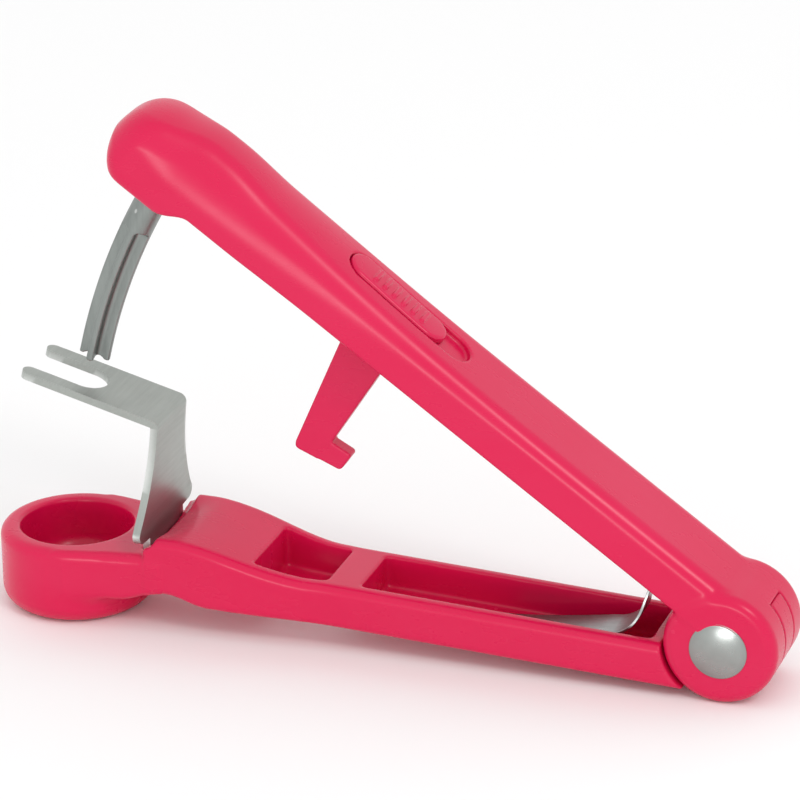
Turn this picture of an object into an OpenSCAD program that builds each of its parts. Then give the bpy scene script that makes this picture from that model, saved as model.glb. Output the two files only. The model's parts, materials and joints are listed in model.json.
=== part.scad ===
// Hand-held cherry stoner. Two moulded arms turn on one rivet. The lower arm ends in a fruit
// cup, the upper arm carries a curved plunger, and a bent metal fork strips the fruit off it.
// The origin is under the middle of the tool, on the surface it stands on. +X points to the hinge.

/* [Overall] */
// Distance from the middle of the cup to the hinge
reach = 150; // [149:0.5:151]
// Slope of the upper arm with the tool open, in degrees
open_slope = 35.5; // [35:0.5:37]
// Width across the arms at the hinge
arm_w = 22.9; // [22.5:0.1:23.5]
// Radius of the round hinge end of both arms
barrel_r = 12.5; // [12.4:0.1:12.6]

/* [Cup] */
// Inside diameter of the cup
cup_bore_d = 25; // [24.6:0.1:25.4]
// Thickness of the cup's wall
cup_wall = 4.5; // [4.3:0.1:4.6]
// Height of the cup's rim
cup_h = 17.9; // [17.6:0.1:18.2]
// Diameter of the hole that the stone leaves by
outlet_d = 15; // [14:0.5:16]

/* [Lower arm] */
// Height of the arm at its peak beside the fork
peak_h = 22.2; // [22:0.1:22.6]
// Height of the arm where its long straight top begins
shoulder_h = 15.6; // [15.4:0.1:16]
// Thickness of the arm's side walls
lower_wall = 3.2; // [3:0.1:3.4]
// Thickness of the floor of both pockets
floor_t = 2.2; // [2:0.1:2.4]

/* [Upper arm] */
// Length of the upper arm from the hinge to its nose
upper_len = 169.8; // [169:0.1:170]
// Thickness of the arm's side walls and nose
upper_wall = 2.2; // [2:0.1:2.3]
// Thickness of the arm's top
roof_t = 2.7; // [2.6:0.1:2.8]
// Width of the gap between the two ears
ear_gap = 7.1; // [7:0.1:7.2]

/* [Plunger and fork] */
// Diameter of the plunger
plunger_d = 6.9; // [6.7:0.1:7]
// Thickness of the fork's metal sheet
sheet_t = 1.7; // [1.5:0.1:1.8]
// Width of the slot between the fork's two tines
fork_slot_w = 9.8; // [9.6:0.1:10]

/* [Lock] */
// How far the lock slides
lock_travel = 4.6; // [4.2:0.1:4.7]
// Length of the button
button_len = 26; // [25:0.1:27]
// Thickness of the hook
hook_t = 3.6; // [3:0.1:4]

/* [Hidden] */

$fn = 96;
eps = 0.01;

// Places along the tool
cup_r = cup_bore_d / 2;
cup_outer_r = cup_r + cup_wall;
cup_x = (cup_outer_r - barrel_r - reach) / 2;
hinge_x = cup_x + reach;
hinge_z = barrel_r;
half_w = arm_w / 2;

// Lower arm, in lengths from the middle of the cup
web_half_w = 15.6;
neck_half_w = 14.1;
peak_half_w = 13.85;
waist_start = 36;
waist_len = 30;
step_x = 22.7;
slope_start = 27;
slope_len = 33;
straight_fall = 0.0486;
under_start = 36;
under_start_z = 7;
under_fall = 0.047;
arch_start = 15;
arch_h = 2.3;
pocket_start = 45.5;
pocket_end = 61.8;
channel_start = 69.5;
channel_end = 137;
hook_slot_half_w = 3;
hook_slot_start = 46.3;
latch_ledge_z = 8.9;

// Hinge
hinge_gap = 0.4;
tongue_half_w = ear_gap / 2 - 0.25;
hub_r = 8.2;
stop_angle = 42.3;
stop_clear = 0.5;
rivet_r = 3;
running_fit = 0.05;
rivet_head_r = 6.3;
rivet_head_h = 1.2;
spigot_r = 1.9;

// Upper arm, in lengths from the hinge towards the nose
nose_corner_r = 9;
brow_r = 12;
brow_top = 13.4;
chin_r = 10.5;
top_half_w = 7.3;
shoulder_drop = 2.4;
shoulder_mid = 100;
shoulder_mid_lift = 0.9;
ear_len = 14;
under_edge = 0.5;
lip_start = 143;
lip_drop = 4;
head_top = 14.05;
head_start = 138;
head_peak = 148;

// Plunger and fork
plunger_r = plunger_d / 2;
bend_x = -10;
bend_z = 14;
bend_r = 137.6;
tip_angle = 13.27;
shank_angle = 27.1;
root_angle = 37.7;
rib_t = 1.5;
rib_core_r = 1.5;
boss_s = 153.9;
boss_r = 5.6;
boss_bottom = 7.3;
fork_bend = [23.8, 47.6];
fork_foot_x = 21.4;
fork_knee_z = 24;
fork_foot_z = 12;
fork_foot_half_w = 11.8;
leg_flare = 6.9;
fork_rise = 15;
fork_len = 33.4;
fork_half_w = 8.4;
fork_slot_mid = 20.6;
sheet_clear = 0.1;

// Lock
slot_start = 79;
slot_len = 33;
slot_half_w = 4.3;
slot_floor = 10.2;
button_clear = 0.3;
button_top = 12.5;
stem_half_t = 1.5;
stem_start = 94;
stem_end = 101;
stem_slot_end = 1.7;

// Spring
spring_t = 0.6;
spring_half_w = 5;
spring_tip_half_w = 1.6;

function ease(t) = let (u = max(0, min(1, t))) u * u * (3 - 2 * u);
function mix(a, b, t) = a + (b - a) * t;

// Half width, top and underside of the lower arm at x from the cup
function lower_half_w(x) =
    x < step_x ? mix(web_half_w, neck_half_w, ease((x - 8) / (step_x - 8)))
    : x < waist_start ? mix(neck_half_w, peak_half_w, (x - step_x) / (waist_start - step_x))
    : mix(peak_half_w, half_w, ease((x - waist_start) / waist_len));
function lower_top(x) =
    mix(peak_h, shoulder_h, ease((x - slope_start) / slope_len))
    - straight_fall * max(0, x - slope_start - slope_len);
function lower_under(x) =
    x < arch_start ? under_start_z
    : x < under_start ? under_start_z + arch_h * (1 - cos(360 * (x - arch_start) / (under_start - arch_start))) / 2
    : under_start_z - under_fall * (x - under_start);

// Top of the upper arm at s from the hinge
function upper_top(s) =
    s < 45 ? mix(barrel_r, 11.4, ease(s / 45))
    : s < head_start ? mix(11.4, 13, pow((s - 45) / 93, 1.6))
    : s < head_peak ? mix(13, head_top, sin(90 * (s - head_start) / (head_peak - head_start)))
    : mix(head_top, brow_top, ease((s - head_peak) / 11));
function upper_under(s) =
    under_edge - (lip_drop + under_edge) * ease((s - lip_start) / 9);

function arc(cx, cy, r, from, to, n = 8) =
    [for (i = [0:n]) let (a = mix(from, to, i / n)) [cx + r * cos(a), cy + r * sin(a)]];

// Puts a child that is drawn from the middle of the cup in its place
module from_cup() {
    translate([cup_x, 0, 0]) children();
}

// Puts a child that is drawn about the hinge in its place, with +X away from the cup
module from_hinge() {
    translate([hinge_x, 0, hinge_z]) children();
}

// Puts a child on the open upper arm, whose nose points along -X
module on_upper_arm() {
    from_hinge() rotate([0, open_slope, 0]) children();
}

// Extrudes a side view, drawn in X and Z, over the widths y0 to y1
module side_view(y0, y1) {
    translate([0, y1, 0]) rotate([90, 0, 0]) linear_extrude(y1 - y0) children();
}

// A bar with two round ends, drawn in plan
module obround(x0, x1, r) {
    translate([x0 + r, 0]) circle(r);
    translate([x1 - r, 0]) circle(r);
    translate([x0 + r, -r]) square([x1 - x0 - 2 * r, 2 * r]);
}

module cup_outside() {
    foot_r = 4.4;
    rim_r = 2.6;
    rotate_extrude()
        polygon(concat(
            [[0, 0]],
            arc(cup_outer_r - foot_r, foot_r, foot_r, -90, 0),
            arc(cup_outer_r - rim_r, cup_h - rim_r, rim_r, 0, 90),
            [[0, cup_h]]));
}

// Inside of the cup: a round wall, a sloping seat for the fruit and the outlet below it
module cup_inside() {
    seat_top = 7.5;
    seat_bottom = 4;
    mouth_r = 0.9;
    translate([0, 0, -1]) cylinder(r = outlet_d / 2, h = seat_bottom + 1 + eps);
    rotate_extrude()
        polygon(concat(
            [[0, seat_bottom], [outlet_d / 2, seat_bottom], [cup_r, seat_top]],
            arc(cup_r + mouth_r, cup_h - mouth_r, mouth_r, 180, 90, 5),
            [[cup_r + mouth_r, cup_h + 1], [0, cup_h + 1]]));
}

module lower_side_outline() {
    end_x = reach - 4;
    tops = [for (x = [step_x + 1.6, 27, 30, 33.5, 37, 41, 45, 49, 53, 57, 60, end_x]) [x, lower_top(x)]];
    unders = [for (x = [end_x, 36, 33, 30, 27.5, 25, 22.5, 20, 17.5, 15, 6]) [x, lower_under(x)]];
    polygon(concat([[6, cup_h], [step_x, cup_h], [step_x, cup_h + 1.4]], tops, unders));
}

module lower_plan_outline(inset, x0, x1, step) {
    side = [for (x = [x0:step:x1 - step / 2]) [x, lower_half_w(x) - inset]];
    last = [[x1, lower_half_w(x1) - inset]];
    near = concat(side, last);
    far = [for (i = [len(near) - 1:-1:0]) [near[i][0], -near[i][1]]];
    polygon(concat(near, far));
}

// A pocket with a floor parallel to the underside of the arm
module pocket(x0, x1, step) {
    intersection() {
        linear_extrude(40) lower_plan_outline(lower_wall, x0, x1, step);
        side_view(-20, 20)
            polygon([[x0 - 5, lower_under(x0 - 5) + floor_t], [x1 + 5, lower_under(x1 + 5) + floor_t],
                     [x1 + 5, 40], [x0 - 5, 40]]);
    }
}

// Middle tongue of the lower arm, a hub and the sector that stops the arms opening further
module tongue() {
    side_view(-tongue_half_w, tongue_half_w) {
        circle(hub_r);
        intersection() {
            circle(barrel_r);
            polygon([[0, 0], [30 * cos(stop_angle), 30 * sin(stop_angle)], [30, 0], [30, -30], [-30, -30], [-30, 0]]);
        }
        root_x = 15;
        polygon([[-root_x, lower_under(reach - root_x) - hinge_z], [-root_x, -2], [0, -2], [0, -barrel_r]]);
    }
}

module lower_arm() {
    color([0.90, 0.19, 0.36]) difference() {
        union() {
            from_cup() cup_outside();
            difference() {
                from_cup() intersection() {
                    side_view(-20, 20) lower_side_outline();
                    linear_extrude(40) lower_plan_outline(0, 6, reach - 4, 4);
                }
                from_hinge() side_view(-20, 20) circle(barrel_r + hinge_gap);
            }
            from_hinge() tongue();
        }
        from_cup() cup_inside();
        from_cup() pocket(pocket_start, pocket_end, 4);
        from_cup() pocket(channel_start, channel_end, channel_end - channel_start);
        // slot for the hook, through the floor and up under the bridge
        from_cup()
            translate([hook_slot_start, -hook_slot_half_w, -1])
            cube([channel_start - 2 - hook_slot_start, 2 * hook_slot_half_w, latch_ledge_z + 1]);
        from_cup() fork_seat();
        from_hinge() rotate([90, 0, 0]) cylinder(r = rivet_r + running_fit, h = 40, center = true);
    }
}

// The slot that the foot of the fork is pressed into
module fork_seat() {
    translate([fork_foot_x - sheet_t - sheet_clear, -fork_foot_half_w - sheet_clear, fork_foot_z - sheet_clear])
        cube([sheet_t + 2 * sheet_clear, 2 * (fork_foot_half_w + sheet_clear), 20]);
}

// Half width of the fork's leg at height z. It flares towards the arm.
function leg_half_w(z) = fork_half_w + leg_flare * pow((46 - z) / 21, 1.7);

// Front of the nose in the side view, rounded at the brow and at the chin
function nose_line() = concat(
    arc(brow_r - upper_len, brow_top - brow_r, brow_r, 90, 167.5, 10),
    arc(chin_r - upper_len, chin_r - lip_drop, chin_r, 194, 270, 10));

module upper_side_outline() {
    top_s = [for (s = [0, 15, 30, 45, 60, 80, 100, 120, 138, 143, 148, 152, 156]) [-s, upper_top(s)]];
    under = [for (s = [152, 149.5, 147.5, 145.5, 143, 0]) [-s, upper_under(s)]];
    polygon(concat(top_s, nose_line(), under));
}

module upper_plan_outline(inset) {
    r = nose_corner_r - inset;
    x0 = -(upper_len - nose_corner_r);
    y0 = half_w - nose_corner_r;
    polygon(concat(
        [[0, half_w - inset]],
        arc(x0, y0, r, 90, 180, 10),
        arc(x0, -y0, r, 180, 270, 10),
        [[0, -half_w + inset]]));
}

// Slanted shoulder between the arm's side and its top, on one side. The lifts raise its two ends.
module shoulder_cut(s0, s1, lift0, lift1) {
    h0 = upper_top(s0) + lift0;
    h1 = upper_top(s1) + lift1;
    rise = atan((h1 - h0) / (s1 - s0));
    translate([-s0, 0, h0]) rotate([0, rise, 0]) rotate([90, 0, -90])
        linear_extrude((s1 - s0) / cos(rise))
        polygon([[top_half_w, 0.02], [half_w + 0.5, -shoulder_drop * 1.12], [half_w + 0.5, 5], [top_half_w, 5]]);
}

// Hollow of the upper arm, open below from behind the ears to the nose
module upper_hollow() {
    roof = [for (s = [ear_len, 45, 80, 110, 138, 148, 154]) [-s, upper_top(s) - roof_t]];
    intersection() {
        side_view(-20, 20)
            polygon(concat(roof, arc(brow_r - upper_len, brow_top - brow_r, brow_r - upper_wall, 90, 180),
                [[upper_wall - upper_len, -20], [-ear_len, -20]]));
        translate([0, 0, -20]) linear_extrude(40) upper_plan_outline(upper_wall);
    }
}

// Gap between the ears. It leaves a bridge over the hub, which meets the tongue to stop the arm.
module ear_slot() {
    edge = stop_angle + open_slope + stop_clear;
    side_view(-ear_gap / 2, ear_gap / 2) {
        circle(hub_r + hinge_gap);
        polygon([[0, 0], [30 * cos(edge), 30 * sin(edge)], [30, 0], [30, -30], [-ear_len - 1, -30],
                 [-ear_len - 1, hub_r + 0.2], [0, hub_r + 0.2]]);
    }
}

module upper_arm() {
    color([0.90, 0.19, 0.36]) on_upper_arm() difference() {
        union() {
            difference() {
                union() {
                    intersection() {
                        side_view(-20, 20) upper_side_outline();
                        translate([0, 0, -20]) linear_extrude(40) upper_plan_outline(0);
                    }
                    rotate([90, 0, 0]) cylinder(r = barrel_r, h = arm_w, center = true);
                }
                for (m = [0, 1]) mirror([0, m, 0]) {
                    shoulder_cut(ear_len, shoulder_mid + eps, shoulder_drop + 0.2, shoulder_mid_lift);
                    shoulder_cut(shoulder_mid, upper_len, shoulder_mid_lift, 0);
                }
                upper_hollow();
            }
            // boss that holds the plunger
            translate([-boss_s, 0, boss_bottom]) cylinder(r = boss_r, h = 4.5);
        }
        ear_slot();
        rotate([0, -open_slope, 0]) plunger_bar(root_angle, shank_angle, plunger_r);
        // recess and slot for the lock
        translate([0, 0, slot_floor]) linear_extrude(9)
            obround(-slot_start - slot_len, -slot_start, slot_half_w);
        translate([0, 0, 5]) linear_extrude(9)
            obround(-stem_end - stem_slot_end, -stem_start + lock_travel + stem_slot_end, stem_half_t + 0.3);
        rotate([90, 0, 0]) cylinder(r = rivet_r, h = 40, center = true);
    }
}

// Sweeps a section along the plunger's bend, between two slopes of its radius
module along_bend(from, to) {
    translate([bend_x, 0, bend_z]) rotate([90, 0, 0]) rotate([0, 0, 180 - from])
        rotate_extrude(angle = from - to) translate([bend_r, 0]) children();
}

module plunger_bar(from, to, r) {
    along_bend(from, to) circle(r);
}

module plunger() {
    color([0.62, 0.64, 0.63]) from_hinge() {
        plunger_bar(root_angle, shank_angle, plunger_r);
        along_bend(shank_angle + 0.2, tip_angle) {
            square([2 * plunger_r - 0.1, rib_t], center = true);
            square([rib_t, 2 * plunger_r - 0.1], center = true);
            circle(rib_core_r);
        }
    }
}

module fork_top_outline() {
    tine_r = (fork_half_w - fork_slot_w / 2) / 2;
    difference() {
        union() {
            translate([-fork_len + tine_r, -fork_half_w]) square([fork_len - tine_r + 3, 2 * fork_half_w]);
            for (m = [-1, 1]) translate([-fork_len + tine_r, m * (fork_half_w - tine_r)]) circle(tine_r);
        }
        translate([-fork_len - 1, -fork_slot_w / 2]) square([fork_len + 1 - fork_slot_mid, fork_slot_w]);
        translate([-fork_slot_mid, 0]) circle(fork_slot_w / 2);
    }
}

// Outline of the fork's leg, drawn across and upwards
module fork_leg_outline() {
    corner_r = 2.2;
    corner_z = 25;
    top_z = fork_bend[1] - 2.4;
    side = [for (z = [44, 41, 38, 35, 32, 29.5, 27.5, corner_z + 0.3]) [leg_half_w(z), z]];
    corner = arc(leg_half_w(corner_z) - corner_r, corner_z, corner_r, 0, -85, 5);
    half = concat([[fork_half_w - 0.5, top_z]], side, corner,
        [[fork_foot_half_w, corner_z - corner_r - 0.2], [fork_foot_half_w, fork_foot_z - 1]]);
    other = [for (i = [len(half) - 1:-1:0]) [-half[i][0], half[i][1]]];
    polygon(concat(half, other));
}

// The sheet seen from the side: foot, leaning leg and sloping top in one bent strip
module fork_side_outline() {
    tip = fork_bend + fork_len * 1.1 * [-cos(fork_rise), sin(fork_rise)];
    top_down = sheet_t * [-sin(fork_rise), -cos(fork_rise)];
    lean = atan((fork_bend[0] - fork_foot_x) / (fork_bend[1] - fork_knee_z));
    leg_dx = sheet_t / cos(lean);
    inner_z = fork_bend[1] - sheet_t / cos(fork_rise) + leg_dx * tan(fork_rise);
    inner_x = fork_bend[0] - leg_dx - (fork_bend[1] - inner_z) * tan(lean);
    polygon([fork_bend, tip, tip + top_down, [inner_x, inner_z], [fork_foot_x - sheet_t, fork_knee_z],
             [fork_foot_x - sheet_t, fork_foot_z], [fork_foot_x, fork_foot_z], [fork_foot_x, fork_knee_z]]);
}

module stripper_fork() {
    color([0.74, 0.75, 0.74]) from_cup() intersection() {
        side_view(-20, 20) fork_side_outline();
        union() {
            translate([fork_bend[0], 0, fork_bend[1]]) rotate([0, fork_rise, 0]) translate([0, 0, -4])
                linear_extrude(6) fork_top_outline();
            translate([10, 0, 0]) rotate([90, 0, 90]) linear_extrude(20) fork_leg_outline();
        }
    }
}

// Middle line of the spring in side view, from its foot in the channel to its tip
function spring_line() = concat(
    [[98, lower_under(98) + floor_t + spring_t / 2]],
    [for (x = [104:5:124]) [x, mix(6.35, 9.9, pow((x - 98) / 26, 1.4))]],
    arc(123.6, 17.6, 7.6, -80, -18, 7),
    [[132.4, 20], [135.2, 26], [137.3, 29.6]]);

module leaf_spring() {
    line = spring_line();
    n = len(line);
    above = [for (p = line) [p[0], p[1] + spring_t / 2]];
    below = [for (i = [n - 1:-1:0]) [line[i][0] + spring_t * 0.6 * ease((line[i][0] - 122) / 8), line[i][1] - spring_t / 2]];
    color([0.45, 0.46, 0.47]) from_cup() intersection() {
        side_view(-10, 10) polygon(concat(above, below));
        rotate([0, 90, 0]) rotate([0, 0, 90]) linear_extrude(160)
            polygon([[-spring_half_w, 0], [spring_half_w, 0], [spring_half_w, 11], [spring_tip_half_w, 22],
                     [spring_tip_half_w, 40], [-spring_tip_half_w, 40], [-spring_tip_half_w, 22], [-spring_half_w, 11]]);
    }
}

module lock_button() {
    s1 = slot_start + slot_len - button_clear;
    s0 = s1 - button_len;
    r = slot_half_w - button_clear;
    color([0.90, 0.19, 0.36]) on_upper_arm() difference() {
        union() {
            translate([0, 0, slot_floor + 0.1]) linear_extrude(button_top - slot_floor - 0.1)
                obround(-s1, -s0, r);
            for (s = [s0 + 5.5:2.6:s1 - 5]) translate([-s - 0.5, -2.6, button_top - eps]) cube([1, 5.2, 0.5]);
        }
        translate([-stem_end, -stem_half_t, slot_floor - 1])
            cube([stem_end - stem_start, 2 * stem_half_t, 2.6]);
    }
}

module lock_hook() {
    blade = [[-102.9, 1], [-102.9, -4.3], [-97.8, -29.2], [-97.3, -30.4], [-95.3, -31.2], [-87.7, -29.4], [-86.6, -28.8],
             [-86, -27.5], [-86.5, -24.7], [-88, -24.9], [-91.2, -26.6], [-91.2, -24.7], [-92, -4.1], [-92, 1]];
    color([0.88, 0.17, 0.33]) on_upper_arm() {
        side_view(-hook_t / 2, hook_t / 2) polygon(concat(blade, [[-92, 8.2], [-102.9, 8.2]]));
        // shoulders that run under the arm's roof
        translate([-103.5, -4.2, 6.6]) cube([12, 8.4, 1.7]);
        translate([-stem_end, -stem_half_t, 8]) cube([stem_end - stem_start, 2 * stem_half_t, slot_floor + 1.6 - 8]);
    }
}

// Low dome of a rivet's head, standing on the arm's side
module rivet_head() {
    dome_r = (rivet_head_r * rivet_head_r + rivet_head_h * rivet_head_h) / (2 * rivet_head_h);
    intersection() {
        translate([0, 0, rivet_head_h - dome_r]) sphere(r = dome_r, $fn = 128);
        cylinder(r = rivet_head_r - 0.1, h = rivet_head_h + 1);
    }
}

module rivet_pin() {
    color([0.80, 0.80, 0.80]) from_hinge() rotate([90, 0, 0]) {
        translate([0, 0, half_w]) rivet_head();
        translate([0, 0, -4]) cylinder(r = rivet_r, h = half_w + 4 + eps);
        translate([0, 0, -9]) cylinder(r = spigot_r, h = 6);
    }
}

module rivet_cap() {
    color([0.80, 0.80, 0.80]) from_hinge() rotate([-90, 0, 0]) difference() {
        union() {
            translate([0, 0, half_w]) rivet_head();
            translate([0, 0, 4.05]) cylinder(r = rivet_r, h = half_w - 4.05 + eps);
        }
        translate([0, 0, 3]) cylinder(r = spigot_r, h = 6.4);
    }
}

lower_arm();
upper_arm();
plunger();
stripper_fork();
leaf_spring();
lock_button();
lock_hook();
rivet_pin();
rivet_cap();
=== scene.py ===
"""A hand-held cherry stoner, with its moulded arms, metal plunger, fork, spring, lock and rivet.

Shapes are worked out in millimetres, in one of two frames of the maker's:
  cup frame  x runs from the middle of the cup to the hinge, z is up from the surface below
  arm frame  x runs from the hinge away from the nose, z is square to the open upper arm
and are turned into metres in the shared frame when a piece is made.
"""
import json
import math

import bmesh
import bpy
import numpy as np
from mathutils import Matrix, Vector


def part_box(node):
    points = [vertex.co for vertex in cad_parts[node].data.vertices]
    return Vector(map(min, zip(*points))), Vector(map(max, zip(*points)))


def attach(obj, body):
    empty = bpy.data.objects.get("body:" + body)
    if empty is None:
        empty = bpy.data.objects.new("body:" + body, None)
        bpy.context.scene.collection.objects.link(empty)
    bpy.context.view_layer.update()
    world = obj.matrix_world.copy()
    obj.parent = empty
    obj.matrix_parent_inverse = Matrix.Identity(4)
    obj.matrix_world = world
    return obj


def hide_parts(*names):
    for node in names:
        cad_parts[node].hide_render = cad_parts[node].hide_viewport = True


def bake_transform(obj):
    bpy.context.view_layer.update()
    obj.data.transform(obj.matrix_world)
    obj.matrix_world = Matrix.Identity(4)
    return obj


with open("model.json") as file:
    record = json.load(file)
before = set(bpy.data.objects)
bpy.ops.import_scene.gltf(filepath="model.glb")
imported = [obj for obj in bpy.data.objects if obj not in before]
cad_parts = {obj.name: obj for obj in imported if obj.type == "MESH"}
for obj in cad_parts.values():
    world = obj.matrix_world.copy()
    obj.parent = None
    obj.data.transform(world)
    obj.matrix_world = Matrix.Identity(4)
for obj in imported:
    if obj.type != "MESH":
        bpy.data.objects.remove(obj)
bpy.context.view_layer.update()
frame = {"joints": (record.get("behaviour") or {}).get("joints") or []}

MM = 0.001

# ---------------------------------------------------------------- sizes read from the frame

JOINTS = {joint["name"]: joint for joint in frame["joints"]}
HINGE = Vector(JOINTS["arm_hinge"]["pos_m"])
SLIDE = Vector(JOINTS["lock_slide"]["axis"])
OPEN_SLOPE = math.atan2(-SLIDE.z, SLIDE.x)

lower_low, lower_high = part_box("lower_arm")
upper_low, upper_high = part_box("upper_arm")
CUP_OUTER_R = (lower_high.y - lower_low.y) / 2 / MM
CUP_X = lower_low.x + CUP_OUTER_R * MM
REACH = (HINGE.x - CUP_X) / MM
BARREL_R = HINGE.z / MM
HALF_W = (upper_high.y - upper_low.y) / 2 / MM

CUP_FRAME = Matrix.Translation((CUP_X, 0, 0)) @ Matrix.Scale(MM, 4)
HINGE_FRAME = Matrix.Translation(HINGE) @ Matrix.Scale(MM, 4)
ARM_FRAME = Matrix.Translation(HINGE) @ Matrix.Rotation(OPEN_SLOPE, 4, "Y") @ Matrix.Scale(MM, 4)

# ---------------------------------------------------------------- sizes in millimetres

# lower arm: the cup and the web beside it
CUP_H = 17.9
CUP_BORE_R = 12.5
OUTLET_R = 7.5
SEAT_LOW, SEAT_HIGH = 4.0, 7.5
CUP_BASE_R, CUP_RIM_R, CUP_MOUTH_R, CUP_WEB_R = 4.4, 2.3, 0.9, 2.6
WEB_X, WEB_NARROWS_X = 2.0, 8.0
STEP_X = 22.7
WEB_HALF_W, NECK_HALF_W, PEAK_HALF_W = 15.6, 14.1, 13.85

# lower arm: the body behind the fork, down to the hinge
PLATE_X = 21.43
PEAK_H, SHOULDER_H = 22.2, 15.6
SLOPE_START, SLOPE_LEN, STRAIGHT_FALL = 27.0, 33.0, 0.0486
WAIST_START, WAIST_LEN = 36.0, 30.0
UNDER_Z, UNDER_START, UNDER_FALL = 7.0, 36.0, 0.047
ARCH_START, ARCH_H = 15.0, 2.3
DISH_DEPTH, DISH_END_X, DISH_HALF_W, DISH_RUN = 1.7, 31.0, 14.0, 10.0
SCOOP_X, SCOOP_RISE, SCOOP_R = 21.23, 0.3, 2.7
TOP_EDGE_R, UNDER_EDGE_R = 2.0, 1.5
LOWER_WALL, FLOOR_T = 3.2, 2.2
POCKET = (45.5, 61.8)
CHANNEL = (69.5, 134.6)
POCKET_CORNER_R, POCKET_FLOOR_R, POCKET_EDGE_R = 1.2, 1.1, 0.45
HOOK_SLOT = (46.3, 67.5)
HOOK_SLOT_HALF_W = 3.0
LATCH_LEDGE_Z = 8.9

# hinge
HINGE_GAP = 0.4
EAR_GAP = 7.1
TONGUE_HALF_W = EAR_GAP / 2 - 0.25
TONGUE_ROOT_LEN, TONGUE_ROOT_Z = 15.0, (-8.5, -2.0)
HUB_R = 8.2
BARREL_EDGE_R = 2.5
STOP_ANGLE = math.radians(42.3)
STOP_CLEAR = math.radians(0.5)
RIVET_R, RIVET_CLEAR, RIVET_LEN = 3.0, 0.05, 6.0
RIVET_HEAD_R, RIVET_HEAD_H, RIVET_ROLL = 6.3, 1.2, 0.25

# upper arm: the height of its top and underside, along it from the hinge
UPPER_LEN = 169.8
ARM_TOP, HEAD_TOP = 10.85, 14.6
RISE_START, RISE_LEN, RISE_POWER = 64, 84, 1.25
DROOP, DROOP_START, DROOP_LEN = 1.3, 147, 13
SWELL, SWELL_START, SWELL_END, SWELL_RUN = 0.9, 130, 163, 14
UNDER_H, UNDER_DROP, UNDER_DROP_START, UNDER_DROP_LEN = 0.5, 0.4, 110, 25
CHIN, CHIN_START, CHIN_LEN = 3.9, 143, 8

# upper arm: its section, nose and hollow
SIDE_TAPER, CROWN = 0.06, 0.017
CROWN_START, CROWN_LEN = 70, 60
NOSE_CORNER_R, BROW_R, CHIN_R = 9.0, 12.0, 10.8
EDGE_R, HEAD_EDGE_R, EDGE_START, EDGE_LEN = 3.6, 4.8, 110, 40
BAND_TILT, BAND_R = math.radians(60), 2.0
BAND_HEAD_H = 7.2
# how much higher the band runs towards each part, where that starts and over what length
BAND_TO_ARM, BAND_TO_HINGE, BAND_TO_NOSE = (3.2, 150, 75), (1.8, 85, 40), (2.5, 151, 13)
UPPER_WALL, ROOF_T = 2.2, 2.7
EAR_LEN = 14.0
BOSS_S, BOSS_R, BOSS_LOW, BOSS_HIGH = 153.9, 5.6, 7.3, 11.6

# plunger
PLUNGER_R = 3.45
PLUNGER_BEND, PLUNGER_BEND_R = (-10.0, 14.0), 137.6
TIP_ANGLE, SHANK_ANGLE, ROOT_ANGLE = (math.radians(a) for a in (13.27, 27.1, 37.4))
PLUNGER_LEN = (ROOT_ANGLE - TIP_ANGLE) * PLUNGER_BEND_R
RIB_HALF_T, RIB_ROOT_R, RIB_SHOULDER_R = 0.75, 0.9, 1.1
TIP_BOWL_R, TIP_BOWL_X = 3.9, 2.9

# fork
SHEET_T = 1.7
FORK_TOP_X, FORK_TOP_Z = 23.8, 47.6
FORK_FOOT_X, FORK_KNEE_Z, FORK_FOOT_Z = 21.4, 24.0, 12.0
FORK_FOOT_HALF_W = 9.6
FORK_CORNER_Z, FORK_CORNER_R = 23.1, 2.3
FORK_FLARE, FLARE_START_Z, FLARE_H, FLARE_POWER = 6.3, 45, 21, 2.1
FORK_RISE = math.radians(15)
FORK_BEND_R = 1.1
FORK_LEN = 32.3
FORK_HALF_W, FORK_SLOT_HALF_W, FORK_SLOT_MID = 8.4, 4.9, 19.7

# lock
LOCK_START, LOCK_LEN, LOCK_HALF_W, LOCK_DEPTH = 79.0, 33.0, 4.3, 1.5
BUTTON_LEN, BUTTON_CLEAR, BUTTON_RISE, BUTTON_LIFT = 26.0, 0.3, 0.45, 0.25
GRIP_R, GRIP_HALF_W, GRIP_STEP = 0.62, 2.5, 2.6
HOOK_T = 3.6
# hook: a point (along the arm, above the hinge line) on each face, and how the face slants
HOOK_FRONT, HOOK_LEAN = (102.9, -4.3), math.radians(11.6)
HOOK_REAR, HOOK_REAR_SLOPE = (91.9, -4.1), 0.034
HOOK_FOOT, HOOK_FOOT_SLOPE = (95.8, -31.4), 0.22
TOE_TOP, TOE_SLOPE = (91.0, -25.2), 0.12
TOE_ENDS, HOOK_ROOT_H, HEEL_R = (86, 97), 8.2, 1.6
STEM_SLOT, STEM_SLOT_HALF_W = (87.7, 102.7), 1.8
STEM, STEM_HALF_T, STEM_H = (94, 101), 1.5, (7, 10.4)
RAILS, RAILS_HALF_W, RAILS_H = (91.5, 103.5), 4.2, (6.6, 8.3)

# spring
SPRING_T = 0.6
SPRING_HALF_W, SPRING_END_HALF_W = 5.0, 1.7
SPRING_START_X, SPRING_RISE_X, SPRING_RISE_Z = 98.0, 122.6, 9.9
SPRING_BEND, SPRING_BEND_R = (122.9, 18.1), 8.4
SPRING_END = ((132.2, 20.0), (133.2, 22.2), (134.4, 24.4), (135.7, 26.6), (137.0, 28.8))

# ---------------------------------------------------------------- solids as distances


def ease(t):
    """Runs smoothly from 0 to 1 as t does."""
    t = np.clip(t, 0, 1)
    return t * t * (3 - 2 * t)


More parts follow.
